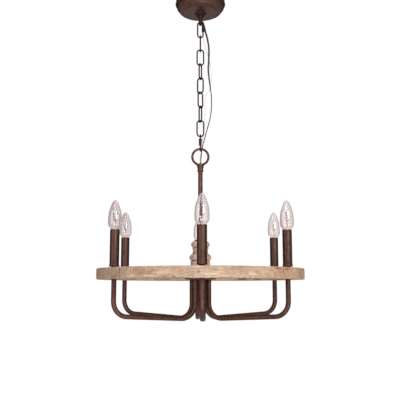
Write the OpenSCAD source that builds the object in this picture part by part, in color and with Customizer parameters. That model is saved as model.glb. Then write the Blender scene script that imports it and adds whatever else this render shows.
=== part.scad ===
// Wagon wheel chandelier with six candle lights, hung from a ceiling canopy by a chain.
// Millimetres, +Z up. The origin is the middle of the canopy on the ceiling plane, and the
// front arm points along -Y. Everything hangs below the ceiling, so heights are negative.

/* [Canopy] */
// Diameter over the canopy's rolled bead
canopy_d = 149; // [144:1:180]
// Height of the canopy below the ceiling
canopy_h = 42; // [38:1:56]
// Sheet thickness of the canopy
canopy_wall = 1.2; // [0.8:0.1:1.8]
// Length of the crossbar that screws to the junction box
crossbar_l = 104; // [100:1:124]
// Width of the crossbar
crossbar_w = 18; // [15:0.5:24]
// Thickness of the crossbar
crossbar_t = 1.6; // [1.2:0.1:3]
// Distance between the centres of the crossbar's slots
slot_pitch = 79.5; // [72:0.5:84]
// Length of a slot, end to end
slot_l = 16; // [8:0.5:18]
// Width of a slot
slot_w = 4.5; // [3.5:0.1:6]

/* [Hanger] */
// Diameter of the threaded stem that carries the canopy's collar
stem_d = 25.4; // [24:0.1:30]
// Length of the threaded stem
stem_l = 25; // [18:0.5:28]
// Diameter of the collar under the canopy
collar_d = 34; // [32:0.5:40]
// Height of the collar
collar_h = 8; // [5:0.5:12]
// Thickness of the hanger loop's bar
loop_bar_d = 7.6; // [6:0.1:8.4]
// Width of the opening in the hanger loop
loop_gap_w = 10.4; // [9.5:0.1:12]
// Height of the opening in the hanger loop
loop_gap_h = 18.5; // [16:0.5:26]
// Diameter of the hollow nipple between the crossbar and the stem
nipple_d = 10; // [9:0.1:12]
// Diameter of every hole that the supply cord runs through
wire_bore = 7.8; // [7:0.1:8]

/* [Chain] */
// Length of a chain link over its ends
link_l = 51.9; // [46:0.1:60]
// Width of a plain chain link
link_w = 23.5; // [20:0.1:28]
// Width of the quick links at the two ends of the chain
quick_w = 20.5; // [19:0.1:26]
// Thickness of the links' wire
link_wire = 4.2; // [3.4:0.1:4.8]
// Diameter of a quick link's sleeve nut
sleeve_nut_d = 9; // [7.5:0.1:10]
// Length of a quick link's sleeve nut
sleeve_nut_l = 21; // [16:0.5:22]
// Opening in the side of a quick link
quick_gap = 7; // [5:0.5:8]

/* [Ring and rod] */
// Outer diameter of the hanging ring
ring_d = 53.5; // [46:0.5:70]
// Thickness of the hanging ring's wire
ring_wire = 6.8; // [5:0.1:7.4]
// Widest diameter of the neck under the hanging ring
neck_d = 21; // [18:0.5:26]
// Height of the neck
neck_h = 15; // [12:0.5:24]
// Diameter of the rod
rod_d = 12; // [11.5:0.1:16]
// Wall of the rod
rod_wall = 1.2; // [0.8:0.1:1.4]
// Length of rod that shows between the neck and the hub
rod_show = 205.4; // [120:1:320]
// Diameter of the collar at the top of the rod
rod_collar_d = 17; // [16.5:0.5:22]
// Height of the collar at the top of the rod
rod_collar_h = 8.8; // [5:0.2:14]

/* [Hub] */
// Height of the turned wooden hub
hub_h = 103.6; // [92:0.2:130]
// Diameter of the hub's upper bead
top_bead_d = 52.8; // [46:0.2:58]
// Diameter of the hub's lower bead
low_bead_d = 62.5; // [58:0.5:76]
// Thickness of both beads
bead_t = 19.8; // [15:0.2:22]
// Diameter of the neck between the beads
hub_neck_d = 43.4; // [38:0.2:46]
// Diameter of the waist under the lower bead
hub_waist_d = 55.4; // [46:0.2:58]
// Diameter of the hub's foot
hub_foot_d = 83; // [80:0.5:110]
// Diameter of the metal plate under the hub
plate_d = 87; // [84:0.5:120]
// Thickness of the metal plate
plate_t = 5; // [3:0.2:8]
// Diameter of the metal cap on the hub
cap_d = 36; // [28:0.5:44]
// Height of the metal cap
cap_h = 2.9; // [2:0.1:5]

/* [Rim] */
// Outer diameter of the wooden rim
rim_d = 580; // [500:1:700]
// Width of the rim's boards
rim_w = 56; // [44:0.5:76]
// Thickness of the rim's boards
rim_t = 29.5; // [22:0.5:40]
// Rounding of the boards' long edges
rim_round = 2; // [0.5:0.1:4]
// Diameter of the dowels that join the felloes
dowel_d = 10; // [6:0.5:12]
// Length of a dowel
dowel_l = 60; // [40:1:80]

/* [Arms] */
// Diameter of the bent tubes
arm_d = 12.7; // [12:0.1:15]
// Wall of the bent tubes
arm_wall = 1.2; // [0.8:0.1:1.3]
// Depth of a tube's outer corner below the rim
arm_outer_drop = 96; // [70:1:130]
// Depth of a tube's inner corner below the hub plate
arm_inner_drop = 108.5; // [80:1:140]
// Bend radius of a tube's middle line
arm_bend_r = 40; // [26:1:48]
// Radius of the circle of inner legs
arm_ring_r = 24; // [22:0.5:26]
// Turn of the inner legs against the outer legs
arm_turn = 20.6; // [0:0.2:26]

/* [Candles] */
// Diameter of a candle's foot
foot_d = 18; // [15:0.5:24]
// Height of a candle's foot
foot_h = 6; // [3:0.5:12]
// Diameter of the drip dish
dish_d = 27.5; // [26:0.5:44]
// Thickness of the drip dish
dish_t = 2.5; // [2:0.1:4]
// Diameter of a candle sleeve
sleeve_d = 25; // [23.6:0.1:25.4]
// Wall of a candle sleeve
sleeve_wall = 1; // [0.8:0.1:1.2]
// Length of a candle sleeve
sleeve_l = 91; // [60:1:130]
// Diameter of the lamp holder in a sleeve
holder_d = 20; // [16:0.2:20.4]
// Depth of the lamp holder's mouth below the sleeve's top
holder_sink = 6; // [4:0.5:10]

/* [Bulbs] */
// Widest diameter of a bulb
bulb_d = 35.2; // [28:0.2:40]
// Height of the glass above its sleeve
bulb_h = 78.5; // [60:0.5:95]
// Wall of the glass
glass_wall = 0.8; // [0.5:0.1:1.2]
// Diameter of a bulb's screw base
base_d = 12; // [11:0.1:13]
// Length of a bulb's screw base
base_l = 23; // [18:0.5:28]

/* [Cords] */
// Width of the flat twin lead
cord_w = 5.4; // [4:0.1:5.4]
// Thickness of the flat twin lead
cord_t = 2.8; // [2:0.1:2.8]
// Diameter of the ground wire
ground_d = 1.8; // [1:0.1:1.8]

/* [Hidden] */
$fn = 64;

// Clearances: fit is the radial play of a fixed joint, run that of a moving one.
fit = 0.1;
run = 0.3;

// Colours
bronze = [0.35, 0.26, 0.22];
oak = [0.82, 0.70, 0.58];
hub_wood = [0.70, 0.58, 0.50];
zinc = [0.66, 0.66, 0.63];
brass = [0.76, 0.62, 0.33];
porcelain = [0.90, 0.88, 0.84];
clear = [0.85, 0.83, 0.84, 0.4];
brown = [0.27, 0.19, 0.16];

// Canopy and hanger heights
stem_bottom = -canopy_h - collar_h;
stem_top = stem_bottom + stem_l;
loop_w = loop_gap_w + 2 * loop_bar_d;
yoke_h = 6;
loop_gap_top = stem_bottom - yoke_h;
loop_bar_z = loop_gap_top - loop_gap_h - loop_bar_d / 2;
loop_bend_r = (loop_gap_w + loop_bar_d) / 2;
canopy_hole_d = max(stem_d, loop_w) + 2 * run;
nut_t = 4;
nipple_nut_af = 14;
nipple_grip = 10;
thread_hole_d = nipple_d + 2 * fit;
ground_screw_x = 19;
ground_thread_d = 4;

// Chain heights: each link sits on the crown of the one above.
link_pitch = link_l - 2 * link_wire - run;
link_1_top = loop_bar_z + loop_bar_d / 2 + run + link_wire;
link_count = 9;
// Turn of each link's plane about the vertical, as the chain hangs
link_yaw = [0, 90, 0, 68, -33, 47, -69, 0, 90];
quick_bend_r = (quick_w - link_wire) / 2;
quick_side = link_l - quick_w;
nut_top_drop = 0.5;

// Ring, rod and hub heights
ring_top = link_1_top - (link_count - 1) * link_pitch - link_l + link_wire + run + ring_wire;
ring_r = (ring_d - ring_wire) / 2;
ring_sink = 1;
neck_top = ring_top - ring_d + ring_wire - ring_sink;
neck_bottom = neck_top - neck_h;
neck_base_d = max(0.75 * neck_d, rod_d + 2);
rod_bore = rod_d - 2 * rod_wall;
rod_hole_d = rod_d + 2 * fit;
spigot_l = 14;
cap_top = neck_bottom - rod_show;
hub_top = cap_top - cap_h;
plate_top = hub_top - hub_h;
plate_bottom = plate_top - plate_t;
rod_nut_af = 19;
rod_nut_t = 5;
rod_bottom = plate_bottom - rod_nut_t - 1;
hub_cavity_h = 15;
hub_cavity_d = hub_foot_d - 10;

// Rim and candle heights: the rim's underside is level with the hub plate's.
rim_bottom = plate_bottom;
rim_top = rim_bottom + rim_t;
arm_rim_r = (rim_d - rim_w) / 2;
arm_bore = arm_d - 2 * arm_wall;
leg_nipple_d = min(arm_bore - 2 * fit, 10);
leg_nipple_bore = leg_nipple_d - 2.4;
leg_hole_d = leg_nipple_d + 2 * fit;
leg_nipple_grip = 12;
foot_top = rim_top + foot_h;
dish_top = foot_top + dish_t;
sleeve_top = dish_top + sleeve_l;
holder_top = sleeve_top - holder_sink;
holder_stand = 4;
holder_bottom = dish_top + holder_stand;
holder_bore = base_d + 2 * run;
glass_neck_d = base_d - 1;

// ---- shared shapes ----

// Points of an arc about [x, y], from angle a0 to a1
function arc(x, y, r, a0, a1, steps = 6) =
    [for (i = [0:steps]) let (a = a0 + (a1 - a0) * i / steps) [x + r * cos(a), y + r * sin(a)]];

// Smooth curve through p, two pieces for each stretch between its points
function smooth(p) = concat(
    [for (i = [0:len(p) - 2], t = [0, 0.5])
        let (a = p[max(i - 1, 0)], b = p[i], c = p[i + 1], d = p[min(i + 2, len(p) - 1)])
        b + t * (c - a) / 2 + t * t * (2 * a - 5 * b + 4 * c - d) / 2
          + t * t * t * (3 * b - a - 3 * c + d) / 2],
    [p[len(p) - 1]]
);

// Upright tube between two heights
module tube(z0, z1, outer, bore) {
    translate([0, 0, z0])
        difference() {
            cylinder(d = outer, h = z1 - z0);
            translate([0, 0, -1]) cylinder(d = bore, h = z1 - z0 + 2);
        }
}

// Hexagon nut that stands on height z
module hex_nut(z, across_flats, thickness, bore) {
    translate([0, 0, z])
        difference() {
            cylinder(d = across_flats / cos(30), h = thickness, $fn = 6);
            translate([0, 0, -1]) cylinder(d = bore, h = thickness + 2);
        }
}

// Rectangle with its lower left corner at [x, y] and round corners
module round_rect(x, y, w, h, r) {
    translate([x + r, y]) square([w - 2 * r, h]);
    translate([x, y + r]) square([w, h - 2 * r]);
    for (i = [r, w - r], j = [r, h - r])
        translate([x + i, y + j]) circle(r = r);
}

// A candle's place on the rim, the first in front
module at_candle(i) {
    rotate([0, 0, 60 * (i - 1) - 90]) translate([arm_rim_r, 0, 0]) children();
}

module at_candles() {
    for (i = [1:6]) at_candle(i) children();
}

// ---- canopy and hanger ----

module crossbar() {
    color(zinc)
        difference() {
            translate([-crossbar_l / 2, -crossbar_w / 2, -crossbar_t])
                cube([crossbar_l, crossbar_w, crossbar_t]);
            for (side = [-1, 1])
                translate([side * slot_pitch / 2, 0, -crossbar_t - 1]) slot_cut();
            translate([0, 0, -crossbar_t - 1]) cylinder(d = thread_hole_d, h = crossbar_t + 2);
            translate([ground_screw_x, 0, -crossbar_t - 1])
                cylinder(d = ground_thread_d + 2 * fit, h = crossbar_t + 2);
        }
}

module slot_cut() {
    reach = (slot_l - slot_w) / 2;
    for (end = [-1, 1])
        translate([end * reach, 0, 0]) cylinder(d = slot_w, h = crossbar_t + 2);
    translate([-reach, -slot_w / 2, 0]) cube([2 * reach, slot_w, crossbar_t + 2]);
}

module ground_screw() {
    head_h = 3;
    color([0.2, 0.45, 0.25])
        translate([ground_screw_x, 0, -crossbar_t]) {
            cylinder(d = ground_thread_d, h = crossbar_t);
            translate([0, 0, -head_h]) cylinder(d = 2 * ground_thread_d, h = head_h, $fn = 6);
        }
}

module nipple() {
    color(zinc) tube(stem_top - nipple_grip, 0, nipple_d, wire_bore);
}

module nipple_nuts() {
    color(zinc) {
        hex_nut(-crossbar_t - nut_t, nipple_nut_af, nut_t, thread_hole_d);
        hex_nut(stem_top, nipple_nut_af, nut_t, thread_hole_d);
    }
}

// Threaded stem with a forged loop in the YZ plane
module hanger_loop() {
    straight = loop_gap_top - loop_bar_z - loop_bend_r;
    color(bronze)
        difference() {
            union() {
                translate([0, 0, stem_bottom]) cylinder(d = stem_d, h = stem_l);
                intersection() {
                    translate([0, 0, loop_gap_top]) cylinder(d = loop_w, h = yoke_h);
                    translate([-loop_bar_d / 2, -loop_w, loop_gap_top])
                        cube([loop_bar_d, 2 * loop_w, yoke_h]);
                }
                for (side = [-1, 1])
                    translate([0, side * loop_bend_r, loop_gap_top - straight])
                        cylinder(d = loop_bar_d, h = straight + yoke_h / 2);
                translate([0, 0, loop_gap_top - straight])
                    rotate([90, 0, 90]) rotate([0, 0, 180])
                        rotate_extrude(angle = 180)
                            translate([loop_bend_r, 0]) circle(d = loop_bar_d);
            }
            translate([0, 0, loop_gap_top - 1]) cylinder(d = wire_bore, h = stem_l + yoke_h + 2);
            translate([0, 0, stem_top - nipple_grip])
                cylinder(d = thread_hole_d, h = nipple_grip + 1);
        }
}

// Pressed sheet canopy: flat centre, groove, bead, stepped shoulder and rolled edge
module canopy() {
    r = canopy_d / 2;
    hole_r = canopy_hole_d / 2;
    flat_r = r - 24.5;
    groove_z = 1.6;
    bead_x = r - 19;
    bead_z = 3.4;
    bead_r = 2.4;
    step_x = r - 13.5;
    step_z = 3.8;
    cone_r = 20;
    cone_z = 25;
    roll_r = 4;
    lip = 1.6;
    outline = concat(
        [[hole_r, 0], [flat_r, 0], [flat_r + groove_z * 0.8, groove_z]],
        arc(bead_x, bead_z, bead_r, 200, 340),
        [[step_x, step_z], [step_x + 2, step_z + 1.8]],
        arc(r - roll_r - cone_r, cone_z, cone_r, -42, -6),
        arc(r - roll_r, 0.62 * canopy_h, roll_r, -30, 60, 5),
        [[r - lip, canopy_h]]
    );
    inner = [for (p = outline) [max(p[0] - canopy_wall, hole_r), min(p[1] + canopy_wall, canopy_h)]];
    color(bronze)
        translate([0, 0, -canopy_h])
            rotate_extrude()
                polygon(concat(outline, [for (i = [len(inner) - 1:-1:0]) inner[i]]));
}

// Screw collar that holds the canopy up on the stem
module collar_ring() {
    lip = 1.2;
    low_d = collar_d - 6;
    color(bronze)
        translate([0, 0, stem_bottom])
            rotate_extrude()
                polygon([
                    [canopy_hole_d / 2, 0], [max(low_d / 2, canopy_hole_d / 2 + lip), 0],
                    [collar_d / 2, collar_h - 2.4], [collar_d / 2, collar_h],
                    [canopy_hole_d / 2, collar_h]
                ]);
}

// ---- chain ----

// Places a link's middle at the origin, with its plane turned by yaw
module at_link(i) {
    translate([0, 0, link_1_top - (i - 1) * link_pitch - link_l / 2])
        rotate([0, 0, link_yaw[i - 1]]) children();
}

// Oval of round wire in the XZ plane
module oval(width) {
    bend_r = (width - link_wire) / 2;
    side = link_l - width;
    rotate([90, 0, 0]) {
        for (turn = [0, 180])
            rotate([0, 0, turn]) translate([0, side / 2, 0])
                rotate_extrude(angle = 180) translate([bend_r, 0]) circle(d = link_wire);
        for (x = [-bend_r, bend_r])
            translate([x, side / 2, 0]) rotate([90, 0, 0]) cylinder(d = link_wire, h = side);
    }
}

module plain_link(i) {
    color(bronze) at_link(i) oval(link_w);
}

// Link with an opening in one side, which its sleeve nut closes
module quick_link(i) {
    color(bronze)
        at_link(i)
            difference() {
                oval(quick_w);
                translate([quick_bend_r, 0, quick_side / 2 - nut_top_drop - quick_gap / 2 - 1])
                    cube([link_wire + 2, link_wire + 2, quick_gap], center = true);
            }
}

module sleeve_nut(i) {
    color(bronze)
        at_link(i)
            translate([quick_bend_r, 0, quick_side / 2 - nut_top_drop - sleeve_nut_l])
                difference() {
                    cylinder(d = sleeve_nut_d, h = sleeve_nut_l);
                    translate([0, 0, -1]) cylinder(d = link_wire + 2 * run, h = sleeve_nut_l + 2);
                }
}

// ---- cords ----

// The supply cord's route from the ceiling, beside the chain, to the hub
supply_route = [
    [0, 0.9, -1], [0, 0.9, -26], [0, 0.9, -50], [1.5, 1.9, -60], [6.6, 5, -68], [11, 6.6, -80],
    [15, 5.6, -98], [21, 2.5, -123], [25.3, 0, -155], [24.6, 0, -195], [23.5, 0, -222],
    [27, 0, -258], [32, 0, -298], [32.4, 0, -335], [28.4, 0, -368], [20.4, 0, -398],
    [12, -2, -430], [6.6, -5.4, -450], [4.4, -6.8, -462], [3.4, -5.4, -472], [1.4, -1.4, -490],
    [0.9, 0, -503], [0.9, 0, -525], [0.9, 0, -580], [0.9, 0, -700], [0.9, 0, -820]
];

// The ground wire's route
ground_route = [
    [0, -1.6, -1], [0, -1.6, -26], [0, -1.6, -50], [1.2, -2.2, -59], [4.4, 0.4, -65], [4.8, 3.6, -71.5],
    [5.2, 6.4, -82], [6, 6, -98], [8.4, 4.8, -116], [11.6, 3.2, -135], [17.5, 3, -160], [23, 3.8, -176],
    [28.7, 3.6, -200], [32.5, 3.4, -225], [31.8, 4, -252], [28.5, 4.6, -277], [17.9, 3, -293],
    [13.2, 2, -310], [12.4, 1.6, -326], [14.2, 2, -345], [12.8, 3.8, -377], [11, 4.4, -400],
    [6.4, 3.2, -428], [3.5, 3, -446], [3.5, 5, -460], [1.4, 3.6, -474], [-1.4, 1.2, -488],
    [-1.6, 0, -502], [-1.6, 0, -525], [-1.6, 0, -580], [-1.6, 0, -700], [-1.6, 0, -820]
];

// Turn of the flat lead's wide side: it faces the front above and turns edge-on below
function lead_turn(z) = 90 * min(max((-195 - z) / 100, 0), 1);

function unit(v) = v / norm(v);

// One ring of the section, square to the route, its wide side turned by turn
function section_ring(section, at, along, turn) =
    let (wide = [cos(turn), sin(turn), 0])
    let (u = unit(wide - (wide * along) * along))
    let (v = cross(along, u))
    [for (s = section) at + s[0] * u + s[1] * v];

// Closed tube: a section swept along a route
module sweep(route, section, turns) {
    p = smooth(route);
    n = len(section);
    m = len(p);
    rings = [for (i = [0:m - 1])
        section_ring(section, p[i], unit(p[min(i + 1, m - 1)] - p[max(i - 1, 0)]), turns[i])];
    sides = [for (i = [0:m - 2], j = [0:n - 1])
        [i * n + j, i * n + (j + 1) % n, (i + 1) * n + (j + 1) % n, (i + 1) * n + j]];
    ends = [[for (j = [n - 1:-1:0]) j], [for (j = [0:n - 1]) (m - 1) * n + j]];
    polyhedron([for (r = rings, q = r) q], concat(sides, ends), convexity = 4);
}

module supply_cord() {
    w = cord_w / 2;
    t = cord_t / 2;
    section = [[w, t / 2], [w - t / 2, t], [t / 2 - w, t], [-w, t / 2],
               [-w, -t / 2], [t / 2 - w, -t], [w - t / 2, -t], [w, -t / 2]];
    color(brown) sweep(supply_route, section, [for (q = smooth(supply_route)) lead_turn(q[2])]);
}

module ground_wire() {
    section = [for (a = [22.5:45:360]) ground_d / 2 * [cos(a), sin(a)]];
    color([0.93, 0.80, 0.76]) sweep(ground_route, section, [for (q = smooth(ground_route)) 0]);
}

// ---- ring, rod and hub ----

// Ring cast in one piece with its trumpet neck
module hanging_ring() {
    color(bronze)
        difference() {
            union() {
                translate([0, 0, ring_top - ring_d / 2])
                    rotate([90, 0, 0]) rotate_extrude() translate([ring_r, 0]) circle(d = ring_wire);
                rotate_extrude()
                    polygon(concat(
                        [[0, neck_bottom], [neck_base_d / 2, neck_bottom]],
                        [[neck_d / 2, neck_top - 0.35 * neck_h], [neck_d / 2, neck_top - 0.2 * neck_h]],
                        [[0.45 * neck_d, neck_top], [0, neck_top]]
                    ));
                translate([0, 0, neck_bottom - spigot_l])
                    cylinder(d = rod_bore - 2 * fit, h = spigot_l + 1);
            }
            translate([0, 0, neck_bottom - spigot_l - 1])
                cylinder(d = min(wire_bore, rod_bore - 2 * fit - 1.4), h = neck_h + spigot_l + ring_wire);
        }
}

module rod_collar() {
    color(bronze) tube(neck_bottom - rod_collar_h, neck_bottom, rod_collar_d, rod_hole_d);
}

module rod() {
    color(bronze) tube(rod_bottom, neck_bottom, rod_d, rod_bore);
}

module hub_cap() {
    color(bronze)
        translate([0, 0, hub_top])
            rotate_extrude()
                polygon(concat(
                    [[rod_hole_d / 2, 0], [cap_d / 2, 0]],
                    arc(cap_d / 2 - cap_h, 0, cap_h, 0, 90),
                    [[rod_hole_d / 2, cap_h]]
                ));
}

// A bead of the turned hub: a round moulding whose top is at height z
module bead(z, d) {
    translate([0, z - bead_t]) square([(d - bead_t) / 2, bead_t]);
    translate([(d - bead_t) / 2, z - bead_t / 2]) circle(d = bead_t);
}

// Turned hub: two beads, quirks, a neck, a waist, a cove and a foot
module hub() {
    quirk = 2.5;
    quirk_step = 1.5;
    neck_l = 17;
    cavity_roof = 4;
    low_bead_top = -bead_t - neck_l;
    waist_top = low_bead_top - bead_t;
    cove_r = (hub_foot_d - hub_waist_d) / 2;
    foot_top_z = -hub_h + hub_cavity_h + cavity_roof;
    color(hub_wood)
        translate([0, 0, hub_top])
            difference() {
                rotate_extrude() {
                    bead(0, top_bead_d);
                    translate([0, -hub_h]) square([hub_neck_d / 2, hub_h - bead_t / 2]);
                    for (z = [-bead_t - quirk, low_bead_top])
                        translate([0, z]) square([hub_neck_d / 2 + quirk_step, quirk]);
                    bead(low_bead_top, low_bead_d);
                    translate([0, -hub_h]) square([hub_waist_d / 2, hub_h + waist_top + bead_t / 2]);
                    translate([0, -hub_h]) square([hub_foot_d / 2, hub_h + foot_top_z]);
                    difference() {
                        translate([0, foot_top_z - 0.01]) square([hub_foot_d / 2, cove_r + 0.01]);
                        translate([hub_foot_d / 2, foot_top_z + cove_r]) circle(r = cove_r);
                    }
                }
                translate([0, 0, -hub_h - 1]) cylinder(d = rod_hole_d, h = hub_h + 2);
                translate([0, 0, -hub_h - 1]) cylinder(d = hub_cavity_d, h = hub_cavity_h + 1);
            }
}

// Copies at the six inner legs of the tubes
module at_inner_legs() {
    for (i = [1:6])
        rotate([0, 0, 60 * (i - 1) - 90 + arm_turn]) translate([arm_ring_r, 0, 0]) children();
}

module hub_plate() {
    edge = 1.5;
    color(bronze)
        difference() {
            translate([0, 0, plate_bottom])
                rotate_extrude()
                    polygon(concat(
                        [[0, 0]], arc(plate_d / 2 - edge, edge, edge, -90, 0), [[plate_d / 2, plate_t]],
                        [[0, plate_t]]
                    ));
            translate([0, 0, plate_bottom - 1]) cylinder(d = rod_hole_d, h = plate_t + 2);
            at_inner_legs()
                translate([0, 0, plate_bottom - 1]) cylinder(d = leg_hole_d, h = plate_t + 2);
        }
}

// Nipples and nuts that hold the inner legs to the plate, and the rod's nut under it
module hub_nuts() {
    color(zinc) {
        at_inner_legs() {
            tube(plate_bottom - leg_nipple_grip, plate_top + nut_t + 1, leg_nipple_d, leg_nipple_bore);
            hex_nut(plate_top, nipple_nut_af, nut_t, leg_hole_d);
        }
        hex_nut(plate_bottom - rod_nut_t, rod_nut_af, rod_nut_t, rod_hole_d);
    }
}

// ---- rim ----

// A quarter of the rim, with the candles' holes and the dowels' sockets
module felloe(i) {
    color(oak)
        difference() {
            rotate([0, 0, 90 * (i - 1) - 135])
                translate([0, 0, rim_bottom])
                    rotate_extrude(angle = 90, $fn = 128)
                        round_rect(rim_d / 2 - rim_w, 0, rim_w, rim_t, rim_round);
            at_candles()
                translate([0, 0, rim_bottom - 1]) cylinder(d = leg_hole_d, h = rim_t + 2);
            at_dowels() dowel(dowel_d + 2 * fit, dowel_l + 4);
        }
}

// Two dowels across each joint between felloes
module at_dowels() {
    for (i = [1:4], side = [-1, 1])
        rotate([0, 0, 90 * i - 45])
            translate([arm_rim_r + side * rim_w / 4, 0, rim_bottom + rim_t / 2]) children();
}

module dowel(d, length) {
    rotate([90, 0, 0]) cylinder(d = d, h = length, center = true);
}

module felloe_dowels() {
    color(oak) at_dowels() dowel(dowel_d, dowel_l);
}

// ---- arms ----

arm_outer = [arm_rim_r, 0];
arm_inner = arm_ring_r * [cos(arm_turn), sin(arm_turn)];
arm_span = norm(arm_outer - arm_inner);
arm_heading = atan2(arm_inner[1] - arm_outer[1], arm_inner[0] - arm_outer[0]);
arm_slope = atan2(arm_inner_drop - arm_outer_drop, arm_span);
arm_lap = 0.5;
arm_step = 0.1;

// Leg of diameter d, from over above z = 0 down to a bend that turns it towards +X
module arm_leg(d, drop, angle, over) {
    bend_top = arm_bend_r * tan(angle / 2) - drop;
    translate([0, 0, bend_top]) {
        cylinder(d = d, h = over - bend_top);
        translate([arm_bend_r, 0, 0]) rotate([-90, 0, 0]) mirror([1, 0, 0])
            rotate_extrude(angle = angle) translate([arm_bend_r, 0]) circle(d = d);
    }
}

// Sloping run of diameter d between the two bends, lapping each by arm_lap
module arm_run(d) {
    outer_cut = arm_bend_r * tan((90 - arm_slope) / 2) - arm_lap;
    inner_cut = arm_bend_r * tan((90 + arm_slope) / 2) - arm_lap;
    translate([0, 0, -arm_outer_drop]) rotate([0, 90 + arm_slope, 0])
        translate([0, 0, outer_cut])
            cylinder(d = d, h = arm_span / cos(arm_slope) - outer_cut - inner_cut);
}

// Both legs with their bends
module arm_legs(d, over = 0) {
    arm_leg(d, arm_outer_drop, 90 - arm_slope, over);
    translate([arm_span, 0, 0]) mirror([1, 0, 0]) arm_leg(d, arm_inner_drop, 90 + arm_slope, over);
}

// Bent tube: a leg down from the rim, a sloping run and a leg up to the hub plate.
// The run is a hair thicker than the bends that it laps.
module arm(i) {
    color(bronze)
        at_candle(i) translate([0, 0, rim_bottom]) rotate([0, 0, arm_heading])
            difference() {
                union() {
                    arm_legs(arm_d);
                    arm_run(arm_d + 2 * arm_step);
                }
                arm_legs(arm_bore, 1);
                arm_run(arm_bore - 2 * arm_step);
            }
}

// ---- candles ----

module candle_feet() {
    color(bronze)
        at_candles()
            difference() {
                translate([0, 0, rim_top])
                    rotate_extrude()
                        polygon(concat(
                            [[0, 0], [foot_d / 2, 0], [foot_d / 2, 0.25 * foot_h]],
                            [[0.4 * foot_d, 0.5 * foot_h], [0.4 * foot_d, 0.75 * foot_h]],
                            [[foot_d / 2, foot_h], [0, foot_h]]
                        ));
                translate([0, 0, rim_top - 1]) cylinder(d = leg_hole_d, h = foot_h + 2);
            }
}

module candle_dishes() {
    color(bronze)
        at_candles()
            difference() {
                translate([0, 0, foot_top])
                    rotate_extrude()
                        polygon([[0, 0], [0.4 * dish_d, 0], [dish_d / 2, dish_t], [0, dish_t]]);
                translate([0, 0, foot_top - 1]) cylinder(d = leg_hole_d, h = dish_t + 2);
            }
}

// Lamp holders, each with the nipple that comes up from its tube through the rim
module lamp_holders() {
    color(porcelain)
        at_candles()
            difference() {
                union() {
                    translate([0, 0, rim_bottom - leg_nipple_grip])
                        cylinder(d = leg_nipple_d, h = holder_bottom - rim_bottom + leg_nipple_grip);
                    translate([0, 0, dish_top]) cylinder(d = 0.8 * holder_d, h = holder_bottom - dish_top);
                    translate([0, 0, holder_bottom]) cylinder(d = holder_d, h = holder_top - holder_bottom);
                }
                translate([0, 0, rim_bottom - leg_nipple_grip - 1])
                    cylinder(d = leg_nipple_bore, h = holder_bottom - rim_bottom + leg_nipple_grip + 4);
                translate([0, 0, holder_top - base_l - run]) cylinder(d = holder_bore, h = base_l + 2);
            }
}

module sleeve(i) {
    color(bronze)
        at_candle(i) tube(dish_top, sleeve_top, sleeve_d, sleeve_d - 2 * sleeve_wall);
}

// Half outline of the glass, as [radius, height above the sleeve's top] in shares of its size
glass_shape = [
    [0.30, -0.04], [0.33, 0.03], [0.44, 0.10], [0.49, 0.16], [0.50, 0.26], [0.50, 0.36],
    [0.475, 0.48], [0.445, 0.60], [0.35, 0.73], [0.26, 0.86], [0.20, 0.92], [0.09, 0.98], [0, 1]
];

module bulb_glass(i) {
    outer = smooth([for (p = glass_shape) [p[0] * bulb_d, sleeve_top + p[1] * bulb_h]]);
    inner = [for (p = outer) if (p[0] > glass_wall) [p[0] - glass_wall, p[1]]];
    top = outer[len(outer) - 1][1];
    neck_z = holder_top + run;
    pinch_h = 6;
    color(clear)
        at_candle(i)
            rotate_extrude()
                difference() {
                    polygon(concat([[0, neck_z]], [[glass_neck_d / 2, neck_z]], outer));
                    polygon(concat(
                        [[0, neck_z + pinch_h]], [[glass_neck_d / 2 - glass_wall, neck_z + pinch_h]],
                        inner, [[0, top - glass_wall]]
                    ));
                }
}

module bulb_base(i) {
    tip_h = 2;
    color(brass)
        at_candle(i)
            translate([0, 0, holder_top + run - base_l]) {
                translate([0, 0, tip_h]) cylinder(d = base_d, h = base_l - tip_h);
                cylinder(d1 = 0.4 * base_d, d2 = 0.8 * base_d, h = tip_h);
            }
}

// ---- the part ----

crossbar();
ground_screw();
nipple();
nipple_nuts();
hanger_loop();
canopy();
collar_ring();
for (i = [2:8])
    plain_link(i);
for (i = [1, 9])
    quick_link(i);
sleeve_nut(1);  // sleeve_nut_top
sleeve_nut(9);  // sleeve_nut_bottom
supply_cord();
ground_wire();
hanging_ring();
rod_collar();
rod();
hub_cap();
hub();
hub_plate();
hub_nuts();
for (i = [1:4])
    felloe(i);
felloe_dowels();
for (i = [1:6])
    arm(i);
candle_feet();
candle_dishes();
lamp_holders();
for (i = [1:6])
    sleeve(i);
for (i = [1:6])
    bulb_glass(i);
for (i = [1:6])
    bulb_base(i);
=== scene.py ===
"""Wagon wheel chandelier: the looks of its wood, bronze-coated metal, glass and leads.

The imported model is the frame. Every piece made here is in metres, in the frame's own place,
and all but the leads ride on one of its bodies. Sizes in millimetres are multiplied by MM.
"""

import math

import bmesh
import bpy
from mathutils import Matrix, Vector, noise


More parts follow.
